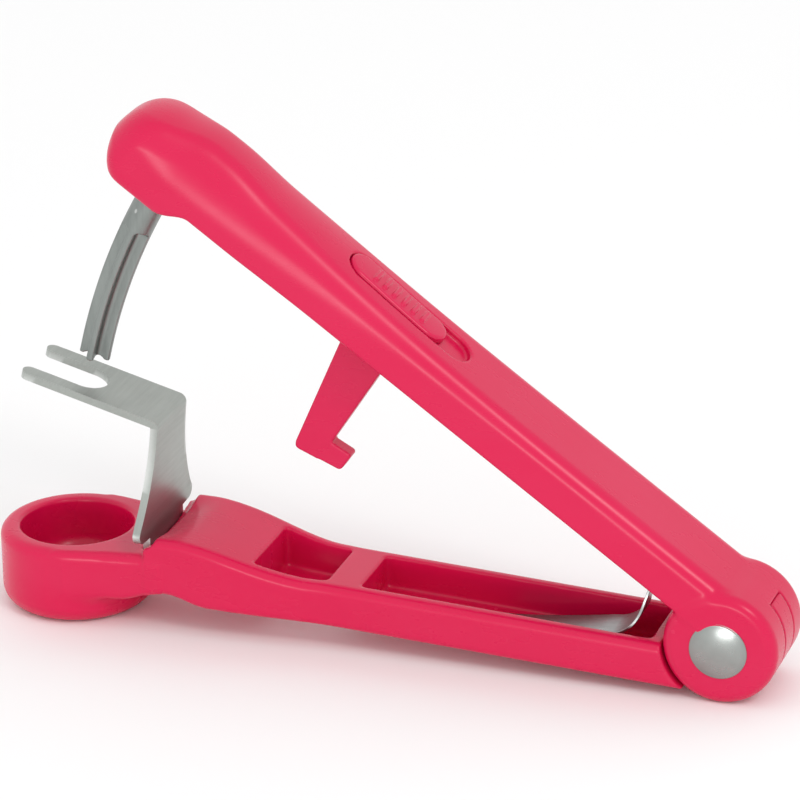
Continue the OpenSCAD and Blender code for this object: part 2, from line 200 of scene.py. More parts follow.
def meet(a, b, fillet=0.0):
    """What two solids share, with a rounded edge. A solid is a distance, negative inside it."""
    edge = np.hypot(np.maximum(a + fillet, 0), np.maximum(b + fillet, 0))
    return np.minimum(np.maximum(a, b), -fillet) + edge


def join(a, b, fillet=0.0):
    """Two solids together, with a filleted corner."""
    return -meet(-a, -b, fillet)


def cut(a, b, fillet=0.0):
    """The first solid without the second, with a rounded edge."""
    return meet(a, -b, fillet)


def between(v, low, high):
    return np.maximum(low - v, v - high)


def steep(height, x, step=0.05):
    """Scales a height above a curve to a distance from it."""
    slope = (height(x + step) - height(x - step)) / (2 * step)
    return 1 / np.sqrt(1 + slope * slope)


def obround(x, y, x0, x1, radius):
    """A bar with round ends, seen in plan."""
    middle, half = (x0 + x1) / 2, (x1 - x0) / 2 - radius
    return np.hypot(np.maximum(np.abs(x - middle) - half, 0), y) - radius


def rounded_corner(a, b, radius):
    """A corner between two walls, both given as distances, of a large radius."""
    corner = np.hypot(np.maximum(a + radius, 0), np.maximum(b + radius, 0))
    return corner - radius + np.minimum(np.maximum(a, b) + radius, 0)


def skin(solid, low, high, cell, rounds=4):
    """Points and four-sided faces wrapped around a solid, one point in each cell its surface crosses."""
    axes = [np.arange(a - cell / 2, b + cell, cell) for a, b in zip(low, high, strict=True)]
    x, y, z = np.meshgrid(*axes, indexing="ij", sparse=True)
    size = tuple(len(a) for a in axes)
    d = np.ascontiguousarray(np.broadcast_to(solid(x, y, z), size))
    cells = tuple(n - 1 for n in size)
    total = np.zeros((*cells, 3))
    count = np.zeros(cells)
    edges = []
    for axis in range(3):
        start = [slice(None)] * 3
        end = [slice(None)] * 3
        start[axis], end[axis] = slice(None, -1), slice(1, None)
        a, b = d[tuple(start)], d[tuple(end)]
        crossed = (a < 0) != (b < 0)
        share = np.where(crossed, a / np.where(crossed, a - b, 1), 0)
        others = [i for i in range(3) if i != axis]
        for step in ((0, 0), (0, 1), (1, 0), (1, 1)):
            part = [slice(None)] * 3
            for other, move in zip(others, step, strict=True):
                part[other] = slice(move, cells[other] + move)
            hit = crossed[tuple(part)]
            count += hit
            total[..., axis] += hit * share[tuple(part)]
            for other, move in zip(others, step, strict=True):
                total[..., other] += hit * move
        edges.append((axis, others, crossed, a))
    used = count > 0
    number = np.full(cells, -1)
    number[used] = np.arange(used.sum())
    corner = np.argwhere(used)
    points = (corner + total[used] / count[used][:, None]) * cell + [a[0] for a in axes]
    faces = []
    for axis, others, crossed, a in edges:
        where = np.argwhere(crossed)
        keep = np.ones(len(where), bool)
        for other in others:
            keep &= (where[:, other] > 0) & (where[:, other] < cells[other])
        where = where[keep]
        ring = []
        for step in ((-1, -1), (0, -1), (0, 0), (-1, 0)):
            cell_of = where.copy()
            for other, move in zip(others, step, strict=True):
                cell_of[:, other] += move
            ring.append(number[tuple(cell_of.T)])
        quad = np.stack(ring, 1)
        inside_first = a[tuple(where.T)] < 0
        flip = inside_first if axis == 1 else ~inside_first
        quad[flip] = quad[flip][:, ::-1]
        faces.append(quad)
    faces = np.concatenate(faces)
    pairs = np.concatenate([faces[:, [i, (i + 1) % 4]] for i in range(4)])
    degree = np.bincount(pairs[:, 0], minlength=len(points))[:, None]
    for turn in range(rounds):
        if turn < rounds - 1:
            total = [np.bincount(pairs[:, 0], points[pairs[:, 1], k], len(points)) for k in range(3)]
            points = points * 0.5 + np.stack(total, 1) / np.maximum(degree, 1) * 0.5
        points = onto_surface(solid, points, cell)
    return points, faces


def onto_surface(solid, points, cell, step=0.01):
    """Moves points straight onto the solid's surface, by at most half a cell."""
    d = solid(*points.T)
    slope = np.stack([(solid(*(points + move).T) - d) / step for move in np.eye(3) * step], 1)
    steepness = np.maximum((slope * slope).sum(1), 0.2)
    move = slope * (d / steepness)[:, None]
    length = np.linalg.norm(move, axis=1, keepdims=True)
    return points - move * np.minimum(1, 0.5 * cell / np.maximum(length, 1e-9))


# ---------------------------------------------------------------- making pieces


def piece(name, points, faces, place, material, body, node):
    """Makes an object of a mesh, puts it in place and hides the CAD node it stands for."""
    mesh = bpy.data.meshes.new(name)
    mesh.from_pydata([tuple(p) for p in points], [], [tuple(int(i) for i in f) for f in faces])
    mesh.transform(place)
    mesh.validate()
    mesh.polygons.foreach_set("use_smooth", np.ones(len(mesh.polygons), bool))
    mesh.materials.append(material)
    made = bpy.data.objects.new(name, mesh)
    bpy.context.scene.collection.objects.link(made)
    if body:
        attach(made, body)
    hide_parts(node)
    return made


def apply_modifiers(made):
    """Leaves the mesh as its modifiers show it."""
    bpy.context.view_layer.update()
    shown = made.evaluated_get(bpy.context.evaluated_depsgraph_get())
    mesh = bpy.data.meshes.new_from_object(shown)
    made.modifiers.clear()
    made.data = mesh


def bevel(made, width, segments, angle):
    """Rounds the sharp edges of a piece."""
    edge = made.modifiers.new("edges", "BEVEL")
    edge.width = width * MM
    edge.segments = segments
    edge.limit_method = "ANGLE"
    edge.angle_limit = math.radians(angle)
    edge.harden_normals = True
    apply_modifiers(made)


# ---------------------------------------------------------------- lower arm, in the cup frame


def lower_half_w(x):
    neck = WEB_HALF_W + (NECK_HALF_W - WEB_HALF_W) * ease((x - WEB_NARROWS_X) / (STEP_X - WEB_NARROWS_X))
    rise = NECK_HALF_W + (PEAK_HALF_W - NECK_HALF_W) * np.clip((x - STEP_X) / (WAIST_START - STEP_X), 0, 1)
    waist = (PEAK_HALF_W - HALF_W) * ease((x - WAIST_START) / WAIST_LEN)
    return np.where(x < STEP_X, neck, rise - waist)


def lower_top(x):
    slope = PEAK_H + (SHOULDER_H - PEAK_H) * ease((x - SLOPE_START) / SLOPE_LEN)
    return slope - STRAIGHT_FALL * np.maximum(0, x - SLOPE_START - SLOPE_LEN)


def lower_under(x):
    t = np.clip((x - ARCH_START) / (UNDER_START - ARCH_START), 0, 1)
    return UNDER_Z + ARCH_H * (1 - np.cos(2 * np.pi * t)) / 2 - UNDER_FALL * np.maximum(0, x - UNDER_START)


def pocket(x, a, z, x0, x1):
    """A pocket of the lower arm, with rounded corners and a floor along the underside."""
    walls = rounded_corner(a - lower_half_w(x) + LOWER_WALL, between(x, x0, x1), POCKET_CORNER_R)
    return meet(walls, lower_under(x) + FLOOR_T - z, POCKET_FLOOR_R)


def tongue(x, a, z):
    """The middle of the hinge on the lower arm: a hub, and the sector that stops the arms."""
    u, w = x - REACH, z - BARREL_R
    rim = np.hypot(u, w)
    missing = np.maximum(-w, u * math.sin(STOP_ANGLE) - w * math.cos(STOP_ANGLE))
    sector = np.maximum(rim - BARREL_R, -missing)
    root = np.maximum(between(u, -TONGUE_ROOT_LEN, 0), between(w, *TONGUE_ROOT_Z))
    return meet(np.minimum(np.minimum(rim - HUB_R, sector), root), a - TONGUE_HALF_W, 0.3)


def lower_body(x, a, z):
    """The neck, waist and long straight part, dished behind the fork."""
    under = (lower_under(x) - z) * steep(lower_under, x)
    dish = DISH_DEPTH * ease((DISH_END_X - x) / DISH_RUN) * ease((DISH_HALF_W - a) / DISH_RUN)
    top = (z - lower_top(x) + dish) * steep(lower_top, x)
    body = meet(meet(a - lower_half_w(x), top, TOP_EDGE_R), under, UNDER_EDGE_R)
    body = cut(body, np.hypot(x - SCOOP_X, z - PEAK_H - SCOOP_RISE + dish) - SCOOP_R, 0.6)
    return np.maximum(meet(body, PLATE_X - x, 0.3), x - (REACH - 4))


def cup_and_web(x, y, z):
    a, rho = np.abs(y), np.hypot(x, y)
    cup = meet(rho - CUP_OUTER_R, -z, CUP_BASE_R)
    web = meet(a - lower_half_w(x), (lower_under(x) - z) * steep(lower_under, x), UNDER_EDGE_R)
    web = np.maximum(web, between(x, WEB_X, STEP_X + 2))
    return np.maximum(meet(join(cup, web, CUP_WEB_R), z - CUP_H, CUP_RIM_R), a - CUP_OUTER_R + 0.02)


def lower_arm_solid(x, y, z):
    a, rho = np.abs(y), np.hypot(x, y)
    solid = join(cup_and_web(x, y, z), lower_body(x, a, z), 0.8)
    seat_slope = (SEAT_HIGH - SEAT_LOW) / (CUP_BORE_R - OUTLET_R)
    cone = (SEAT_LOW + (rho - OUTLET_R) * seat_slope - z) / math.hypot(1, seat_slope)
    hollow = join(meet(rho - CUP_BORE_R, cone, 1.5), rho - OUTLET_R, 0.4)
    solid = cut(solid, hollow, CUP_MOUTH_R)
    for ends in (POCKET, CHANNEL):
        solid = cut(solid, pocket(x, a, z, *ends), POCKET_EDGE_R)
    hook_slot = np.maximum(np.maximum(between(x, *HOOK_SLOT), a - HOOK_SLOT_HALF_W), z - LATCH_LEDGE_Z)
    solid = cut(solid, hook_slot, 0.3)
    seat = np.maximum(a - FORK_FOOT_HALF_W - 0.1, FORK_FOOT_Z - 0.1 - z)
    solid = cut(solid, np.maximum(between(x, PLATE_X - SHEET_T - 0.15, PLATE_X), seat), 0.2)
    rim = np.hypot(x - REACH, z - BARREL_R)
    solid = cut(solid, np.maximum(rim - BARREL_R - HINGE_GAP, TONGUE_HALF_W - a), 0.3)
    solid = np.minimum(solid, tongue(x, a, z))
    return cut(solid, rim - RIVET_R - RIVET_CLEAR, 0.1)


# ---------------------------------------------------------------- upper arm, in the arm frame


def upper_top(s):
    """Height of the upper arm's top: level from the hinge, rising to the head, drooping at the nose."""
    rise = (HEAD_TOP - ARM_TOP) * ease((s - RISE_START) / RISE_LEN) ** RISE_POWER
    droop = DROOP * ease((s - DROOP_START) / DROOP_LEN)
    swell = SWELL * ease((s - SWELL_START) / SWELL_RUN) * ease((SWELL_END - s) / SWELL_RUN)
    return ARM_TOP + rise - droop + swell


def upper_under(s):
    drop = UNDER_DROP * ease((s - UNDER_DROP_START) / UNDER_DROP_LEN)
    return UNDER_H - drop - (CHIN + UNDER_H - UNDER_DROP) * ease((s - CHIN_START) / CHIN_LEN)


def nose_line(s, h, chin_r):
    """The side view of the arm's top and nose, rounded off at the brow and, if it has one, the chin."""
    top = (h - upper_top(s)) * steep(upper_top, s)
    front = s - UPPER_LEN
    brow = rounded_corner(top, front, BROW_R)
    return np.maximum(brow, rounded_corner(-h - CHIN, front, chin_r)) if chin_r else brow


def band_height(s):
    """Where the slanted band starts on the side: high near the hinge, low at the head, up at the nose."""
    height = BAND_HEAD_H
    for rise, start, length in (BAND_TO_ARM, BAND_TO_HINGE):
        height = height + rise * ease((start - s) / length)
    rise, start, length = BAND_TO_NOSE
    return height + rise * ease((s - start) / length)


def upper_outside(s, a, h, chin_r):
    """The outside of the upper arm, without its underside. A slanted band runs between its side and top."""
    plan = rounded_corner(a - HALF_W + SIDE_TAPER * np.maximum(h, 0), s - UPPER_LEN, NOSE_CORNER_R)
    crown = CROWN * a * a * ease((s - CROWN_START) / CROWN_LEN)
    edge_r = EDGE_R + (HEAD_EDGE_R - EDGE_R) * ease((s - EDGE_START) / EDGE_LEN)
    block = meet(plan, nose_line(s, h + crown, chin_r), edge_r)
    band = plan * math.sin(BAND_TILT) + (h - band_height(s)) * math.cos(BAND_TILT)
    return meet(block, band, BAND_R)


def lock_floor(s):
    return upper_top(s) - LOCK_DEPTH


def ear_gap(x, a, h):
    """The gap between the ears, which leaves a bridge over the hub of the other arm."""
    edge = STOP_ANGLE + OPEN_SLOPE + STOP_CLEAR
    bridge = np.maximum(-h, x * math.sin(edge) - h * math.cos(edge))
    below = np.maximum(between(x, -EAR_LEN - 1, 0), h - HUB_R - 0.2)
    gap = np.minimum(np.minimum(np.hypot(x, h) - HUB_R - HINGE_GAP, -bridge), below)
    return np.maximum(np.maximum(gap, a - EAR_GAP / 2), -x - EAR_LEN - 1)


def upper_arm_solid(x, y, z):
    s, a, h = -x, np.abs(y), z
    outside = upper_outside(s, a, h, CHIN_R)
    arm = meet(outside, (upper_under(s) - h) * steep(upper_under, s), 0.9)
    arm = np.maximum(arm, x)
    inside = np.maximum(upper_outside(s, a, h, 0) + UPPER_WALL, h - upper_top(s) + ROOF_T)
    inside = np.maximum(inside, EAR_LEN - s)
    arm = cut(arm, inside, 0.5)
    barrel = meet(np.hypot(x, h) - BARREL_R, a - HALF_W, BARREL_EDGE_R)
    arm = join(arm, barrel, 0.9)
    boss = np.maximum(np.hypot(s - BOSS_S, y) - BOSS_R, between(h, BOSS_LOW, BOSS_HIGH))
    arm = join(arm, boss, 0.6)
    arm = cut(arm, ear_gap(x, a, h), 0.25)
    recess = meet(obround(s, y, LOCK_START, LOCK_START + LOCK_LEN, LOCK_HALF_W), lock_floor(s) - h, 0.6)
    arm = cut(arm, recess, 0.35)
    stem = np.maximum(obround(s, y, *STEM_SLOT, STEM_SLOT_HALF_W), 5 - h)
    arm = cut(arm, stem, 0.2)
    return cut(arm, np.hypot(x, h) - RIVET_R, 0.1)


# ---------------------------------------------------------------- lock, in the arm frame


def button_solid(x, y, z):
    s, h = -x, z
    end = LOCK_START + LOCK_LEN - BUTTON_CLEAR
    start = end - BUTTON_LEN
    crown = upper_top(s) + BUTTON_RISE - 0.012 * y * y
    slab = meet(obround(s, y, start, end, LOCK_HALF_W - BUTTON_CLEAR), h - crown, 0.7)
    slab = np.maximum(slab, lock_floor(s) + BUTTON_LIFT - h)
    for grip_s in np.arange(start + 6, end - 4.5, GRIP_STEP):
        grip = meet(np.hypot(s - grip_s, h - crown) - GRIP_R, np.abs(y) - GRIP_HALF_W, 0.5)
        slab = join(slab, grip, 0.25)
    return slab


def hook_solid(x, y, z):
    """The hook's blade and toe, the rails that run under the roof, and the stem."""
    s, a, h = -x, np.abs(y), z
    front = (s - HOOK_FRONT[0]) * math.cos(HOOK_LEAN) - (h - HOOK_FRONT[1]) * math.sin(HOOK_LEAN)
    rear = HOOK_REAR[0] + (h - HOOK_REAR[1]) * HOOK_REAR_SLOPE - s
    foot = HOOK_FOOT[1] + (HOOK_FOOT[0] - s) * HOOK_FOOT_SLOPE - h
    toe_top = h - TOE_TOP[1] + (s - TOE_TOP[0]) * TOE_SLOPE
    blade = meet(meet(front, foot, HEEL_R), np.maximum(rear, h - HOOK_ROOT_H), 0.9)
    toe = meet(between(s, *TOE_ENDS), np.maximum(foot, toe_top), 0.8)
    flat = meet(join(blade, toe, 0.5), a - HOOK_T / 2, 0.35)
    rails = meet(np.maximum(between(s, *RAILS), a - RAILS_HALF_W), between(h, *RAILS_H), 0.3)
    stem = np.maximum(np.maximum(between(s, *STEM), a - STEM_HALF_T), between(h, *STEM_H))
    return np.minimum(join(flat, rails, 0.4), stem)


# ---------------------------------------------------------------- metal pieces


def plunger_solid(x, y, z):
    """The plunger laid out straight: x runs along it from its tip, y across and z outwards."""
    r = np.hypot(y, z)
    shank_from = (SHANK_ANGLE - TIP_ANGLE) * PLUNGER_BEND_R
    round_bar = meet(r - PLUNGER_R, x - PLUNGER_LEN, 0.3)
    ribs = join(np.abs(y) - RIB_HALF_T, np.abs(z) - RIB_HALF_T, RIB_ROOT_R)
    ribbed = join(ribs, shank_from - x, RIB_SHOULDER_R)
    bar = meet(round_bar, ribbed, 0.25)
    bowl = TIP_BOWL_R - np.hypot(x + TIP_BOWL_X, r)
    return meet(meet(bar, bowl, 0.2), -x, 0.15)


def bend(points):
    """Turns the straight plunger's points into its arc, in the hinge frame."""
    x, y, z = points.T
    angle = TIP_ANGLE + x / PLUNGER_BEND_R
    radius = PLUNGER_BEND_R + z
    centre_x, centre_z = PLUNGER_BEND
    return np.stack([centre_x - radius * np.cos(angle), y, centre_z + radius * np.sin(angle)], 1)


def sheet_strip(stations, columns, place_at):
    """Two faces, a left and a right strip, over stations of (u, inner half width, outer half width)."""
    points, faces = [], []
    for side in (-1, 1):
        first = len(points)
        for u, inner, outer in stations:
            for k in range(columns + 1):
                across = inner + (outer - inner) * k / columns
                points.append(place_at(u, side * across))
        for i in range(len(stations) - 1):
            for k in range(columns):
                a = first + i * (columns + 1) + k
                quad = (a, a + 1, a + columns + 2, a + columns + 1)
                faces.append(quad if side > 0 else quad[::-1])
    return points, faces


def weld(made, distance, shortest_edge=0.0):
    """Closes seams between points that lie together, drops slivers and turns every face outwards."""
    mesh = bmesh.new()
    mesh.from_mesh(made.data)
    bmesh.ops.remove_doubles(mesh, verts=mesh.verts, dist=distance * MM)
    if shortest_edge:
        bmesh.ops.dissolve_degenerate(mesh, edges=mesh.edges, dist=shortest_edge * MM)
    bmesh.ops.recalc_face_normals(mesh, faces=mesh.faces)
    mesh.to_mesh(made.data)
    mesh.free()


def thicken(made, thickness):
    """Gives a welded sheet its thickness, half to each side."""
    weld(made, 0.02, 0.005)
    solid = made.modifiers.new("thickness", "SOLIDIFY")
    solid.thickness = thickness * MM
    solid.offset = 0
    solid.use_even_offset = True
    apply_modifiers(made)


def heading(angle):
    return Vector((math.cos(angle), math.sin(angle)))


def fork_path():
    """Middle of the bent sheet as a function of the length from its foot, and where its leg and bend end."""
    half = SHEET_T / 2
    leg = math.atan2(FORK_TOP_Z - FORK_KNEE_Z, FORK_TOP_X - FORK_FOOT_X)
    top = math.pi - FORK_RISE
    corner = Vector((FORK_TOP_X - half * 1.02, FORK_TOP_Z - half * 1.02 + 0.1))
    reach = FORK_BEND_R * math.tan((top - leg) / 2)
    bend_start = corner - heading(leg) * reach
    knee = Vector((FORK_FOOT_X - half, FORK_KNEE_Z))
    centre = bend_start + heading(leg + math.pi / 2) * FORK_BEND_R
    top_start = centre + heading(top - math.pi / 2) * FORK_BEND_R
    leg_dir = (bend_start - knee).normalized()
    foot_end = FORK_KNEE_Z - FORK_FOOT_Z
    leg_end = foot_end + (bend_start - knee).length
    bend_end = leg_end + FORK_BEND_R * (top - leg)

    def at(u):
        if u < foot_end:
            return Vector((knee.x, FORK_FOOT_Z + u))
        if u < leg_end:
            return knee + leg_dir * (u - foot_end)
        if u < bend_end:
            return centre + heading(leg - math.pi / 2 + (u - leg_end) / FORK_BEND_R) * FORK_BEND_R
        return top_start + heading(top) * (u - bend_end)

    return at, leg_end, bend_end, bend_end - reach


def leg_half_w(z):
    return FORK_HALF_W + FORK_FLARE * max(0.0, (FLARE_START_Z - z) / FLARE_H) ** FLARE_POWER


def quarter_turn(steps):
    return [math.pi / 2 * k / steps for k in range(1, steps + 1)]


def make_fork(material):
    at, leg_end, bend_end, corner = fork_path()
    tine_r = (FORK_HALF_W - FORK_SLOT_HALF_W) / 2
    tine_mid = FORK_HALF_W - tine_r
    tip = corner + FORK_LEN
    slot_mid = corner + FORK_SLOT_MID
    flare = FORK_CORNER_Z - FORK_FOOT_Z
    stations = [(u, 0, FORK_FOOT_HALF_W) for u in np.linspace(0, flare - FORK_CORNER_R - 0.2, 5)]
    for turn in quarter_turn(8):
        round_in = FORK_CORNER_R * (1 - math.sin(turn))
        stations.append((flare - FORK_CORNER_R * math.cos(turn), 0, leg_half_w(FORK_CORNER_Z) - round_in))
    stations += [(u, 0, leg_half_w(at(u).y)) for u in np.linspace(flare + 0.6, leg_end - 0.6, 26)]
    stations += [(u + 0.001, 0, FORK_HALF_W) for u in np.linspace(leg_end, bend_end, 10)]
    stations += [(u, 0, FORK_HALF_W) for u in np.linspace(bend_end + 1, slot_mid - FORK_SLOT_HALF_W, 12)]
    for turn in quarter_turn(16):
        u = slot_mid - FORK_SLOT_HALF_W * math.cos(turn)
        stations.append((u, FORK_SLOT_HALF_W * math.sin(turn), FORK_HALF_W))
    stations += [(u, FORK_SLOT_HALF_W, FORK_HALF_W) for u in np.linspace(slot_mid + 1, tip - tine_r, 10)]
    for turn in quarter_turn(10):
        half = max(tine_r * math.cos(turn), 0.05)
        stations.append((tip - tine_r + tine_r * math.sin(turn), tine_mid - half, tine_mid + half))

    def place_at(u, across):
        p = at(u)
        return (p.x, across, p.y)

    points, faces = sheet_strip(stations, 8, place_at)
    fork = piece("fork", points, faces, CUP_FRAME, material, "lower", "stripper_fork")
    thicken(fork, SHEET_T)
    bevel(fork, 0.22, 3, 50)


def spring_path():
    """Points (x, z, half width) along the middle of the spring strip, in the cup frame."""
    floor = float(lower_under(np.float64(SPRING_START_X))) + FLOOR_T + SPRING_T / 2
    line = []
    for x in np.linspace(SPRING_START_X, SPRING_RISE_X, 26):
        line.append((x, floor + (SPRING_RISE_Z - floor) * ((x - SPRING_START_X) / 26) ** 1.4))
    for angle in np.radians(np.linspace(-78, -14, 18)):
        turn = heading(angle) * SPRING_BEND_R
        line.append((SPRING_BEND[0] + turn.x, SPRING_BEND[1] + turn.y))
    line += SPRING_END
    narrow = SPRING_END_HALF_W - SPRING_HALF_W
    return [(x, z, SPRING_HALF_W + narrow * float(ease((z - 10.5) / 10))) for x, z in line]


def make_spring(material):
    points, faces = [], []
    rows, columns = spring_path(), 8
    for x, z, half in rows:
        for k in range(columns + 1):
            points.append((x, half * (2 * k / columns - 1), z))
    for i in range(len(rows) - 1):
        for k in range(columns):
            a = i * (columns + 1) + k
            faces.append((a, a + 1, a + columns + 2, a + columns + 1))
    spring = piece("spring", points, faces, CUP_FRAME, material, None, "leaf_spring")
    thicken(spring, SPRING_T)
    bevel(spring, 0.12, 2, 50)
    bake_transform(spring)


def make_rivet(name, side, node, material):
    """One half of the rivet: a low dome with a rolled edge, and its shank."""
    dome_r = (RIVET_HEAD_R ** 2 + RIVET_HEAD_H ** 2) / (2 * RIVET_HEAD_H)
    outline = [(0.0, -RIVET_HEAD_H)]
    for r in np.linspace(0.5, RIVET_HEAD_R - RIVET_ROLL, 16):
        outline.append((r, -(math.sqrt(dome_r ** 2 - r * r) - dome_r + RIVET_HEAD_H)))
    outline += [(RIVET_HEAD_R - 0.05, -0.14), (RIVET_HEAD_R - 0.02, 0.0)]
    outline += [(RIVET_R, 0.0), (RIVET_R, RIVET_LEN), (0.0, RIVET_LEN)]
    around = 96
    points, faces = [], []
    for r, depth in outline:
        for k in range(around):
            turn = 2 * math.pi * k / around
            points.append((r * math.cos(turn), side * (HALF_W - depth), r * math.sin(turn)))
    for i in range(len(outline) - 1):
        for k in range(around):
            a, b = i * around + k, i * around + (k + 1) % around
            quad = (a, b, b + around, a + around)
            faces.append(quad if side > 0 else quad[::-1])
    rivet = piece(name, points, faces, HINGE_FRAME, material, "upper", node)
    weld(rivet, 0.01)


# ---------------------------------------------------------------- finishes


class Value:
    """A number that a finish works out at each point of a surface."""

    def __init__(self, finish, socket):
        self.finish = finish
        self.socket = socket

    def math(self, operation, *others):
        return self.finish.node("ShaderNodeMath", {"operation": operation}, self, *others)

    def __add__(self, other):
        return self.math("ADD", other)

    def __sub__(self, other):
        return self.math("SUBTRACT", other)

    def __rsub__(self, other):
        return self.finish.node("ShaderNodeMath", {"operation": "SUBTRACT"}, other, self)

    def __mul__(self, other):
        return self.math("MULTIPLY", other)

    def __pow__(self, other):
        return self.math("POWER", other)

    __radd__ = __add__
    __rmul__ = __mul__


class Finish:
    """A material under construction around one Principled shader."""

    def __init__(self, name):
        self.material = bpy.data.materials.new(name)
        self.material.use_nodes = True
        self.tree = self.material.node_tree
        self.shader = self.tree.nodes["Principled BSDF"]

    def link(self, value, socket):
        if isinstance(value, Value):
            self.tree.links.new(value.socket, socket)
        else:
            socket.default_value = value

    def node(self, kind, settings, *inputs, out=0, **named):
        """A node of a type: its settings first, then its inputs by place or by name."""
        made = self.tree.nodes.new(kind)
        for key, value in settings.items():
            setattr(made, key, value)
        for socket, value in zip(made.inputs, inputs):
            self.link(value, socket)
        for key, value in named.items():
            self.link(value, made.inputs[key.replace("_", " ")])
        return Value(self, made.outputs[out])

    def place(self):
        """Where the point is on the object, in metres."""
        return self.node("ShaderNodeTexCoord", {}, out="Object")

    def stretched(self, x, y, z):
        return self.node("ShaderNodeMapping", {}, Vector=self.place(), Scale=(x, y, z))

    def noise(self, scale, where=None, detail=3.0, roughness=0.5):
        where = where or self.place()
        return self.node("ShaderNodeTexNoise", {}, Vector=where, Scale=scale, Detail=detail,
                         Roughness=roughness)

    def remap(self, value, low, high, to_low=0.0, to_high=1.0):
        return self.node("ShaderNodeMapRange", {}, value, low, high, to_low, to_high)

    def mix(self, share, first, second):
        made = self.tree.nodes.new("ShaderNodeMix")
        made.data_type = "RGBA"
        self.link(share, made.inputs["Factor"])
        first_colour, second_colour = made.inputs[6], made.inputs[7]
        self.link(first, first_colour)
        self.link(second, second_colour)
        return Value(self, made.outputs[2])

    def bump(self, height, strength, distance, under=None):
        named = {"Height": height, "Strength": strength, "Distance": distance}
        if under is not None:
            named["Normal"] = under
        return self.node("ShaderNodeBump", {}, **named)

    def edge_wear_and_highlight(self):
        """Near 1 on convex edges: wear where hands and drawers rub on the plastic, a painted highlight on
        the metal.
        """
        edge = self.node("ShaderNodeNewGeometry", {}, out="Pointiness")
        return self.remap(edge, 0.53, 0.62)

    def set(self, name, value):
        self.link(value, self.shader.inputs[name])


def rgb(red, green, blue):
    """A colour given as it looks, from 0 to 255, turned into light."""
    light = [((shown / 255 + 0.055) / 1.055) ** 2.4 for shown in (red, green, blue)]
    return (*light, 1.0)


def moulded_plastic(name, colour, deep, worn):
    """Dyed polypropylene: satin, with faint flow clouds, fine mould grain and rubbed edges."""
    finish = Finish(name)
    clouds = finish.remap(finish.noise(38, detail=4), 0.3, 0.7)
    flow = finish.remap(finish.noise(60, finish.stretched(0.25, 1, 1), detail=2), 0.35, 0.65)
    tint = finish.mix(clouds * 0.35, colour, deep)
    tint = finish.mix(flow * 0.10, tint, worn)
    rubbed = finish.edge_wear_and_highlight() * finish.remap(finish.noise(240, detail=4), 0.35, 0.6)
    tint = finish.mix(rubbed * 0.22, tint, worn)
    finish.set("Base Color", tint)
    smears = finish.remap(finish.noise(90, finish.stretched(0.4, 1, 1), detail=5, roughness=0.6), 0.3, 0.7)
    finish.set("Roughness", finish.remap(smears + rubbed * 0.5, 0.0, 1.5, 0.23, 0.34))
    grain = finish.bump(finish.noise(3200, detail=2), 0.12, 0.00003)
    orange_peel = finish.bump(finish.noise(260, detail=1), 0.06, 0.0001, grain)
    scratch_lines = finish.noise(900, finish.stretched(0.05, 1.4, 1.4), detail=2)
    scratches = finish.remap(scratch_lines, 0.66, 0.72)
    finish.set("Normal", finish.bump(1 - scratches, 0.05, 0.00002, orange_peel))
    finish.shader.inputs["IOR"].default_value = 1.46
    finish.shader.inputs["Specular IOR Level"].default_value = 0.38
    return finish.material


def brushed_metal(name, light, dark, rough, stretch, line_scale, bump_depth):
    """Metal with fine lines one way, cloudy roughness, a few dull spots and a painted highlight on its
    convex edges.
    """
    finish = Finish(name)
    lines = finish.noise(line_scale, finish.stretched(*stretch), detail=4, roughness=0.65)
    clouds = finish.remap(finish.noise(55, detail=4), 0.3, 0.7)
    spots = finish.remap(finish.noise(420, detail=2), 0.68, 0.78)
    tone = finish.mix(finish.remap(lines, 0.3, 0.7) * 0.4 + clouds * 0.3, light, dark)
    # Painted highlight: convex edges are mixed halfway to a near-white steel.
    tone = finish.mix(finish.edge_wear_and_highlight() * 0.5, tone, rgb(232, 234, 232))
    finish.set("Base Color", finish.mix(spots * 0.25, tone, dark))
    finish.set("Metallic", 1.0)
    finish.set("Roughness", finish.remap(clouds + lines + spots * 0.4, 0.4, 1.6, rough, rough + 0.14))
    pits = finish.bump(finish.noise(1500, detail=2), 0.1, 0.00003)
    finish.set("Normal", finish.bump(lines, 0.22, bump_depth, pits))
    return finish.material


def turned_metal(name, light, dark):
    """A rivet head with faint rings from the tool that rolled it, and painted shade darkening its rim."""
    finish = Finish(name)
    centred = finish.node("ShaderNodeVectorMath", {"operation": "SUBTRACT"}, finish.place(), tuple(HINGE))
    flat = finish.node("ShaderNodeVectorMath", {"operation": "MULTIPLY"}, centred, (1, 0, 1))
    radius = finish.node("ShaderNodeVectorMath", {"operation": "LENGTH"}, flat, out="Value")
    rings = (radius * 5200).math("SINE")
    clouds = finish.remap(finish.noise(180, detail=4), 0.3, 0.7)
    edge = finish.remap(radius, 0.0050, 0.0062)
    tone = finish.mix(clouds * 0.5, light, dark)
    # Painted shade: the head's rolled rim is mixed halfway to the dark tone.
    finish.set("Base Color", finish.mix(edge * 0.5, tone, dark))
    finish.set("Metallic", 1.0)
    finish.set("Roughness", finish.remap(clouds + edge * 0.4, 0.0, 1.4, 0.24, 0.34))
    fine = finish.bump(finish.noise(1600, detail=3), 0.12, 0.00003)
    finish.set("Normal", finish.bump(rings, 0.02, 0.00002, fine))
    return finish.material


# ---------------------------------------------------------------- the object

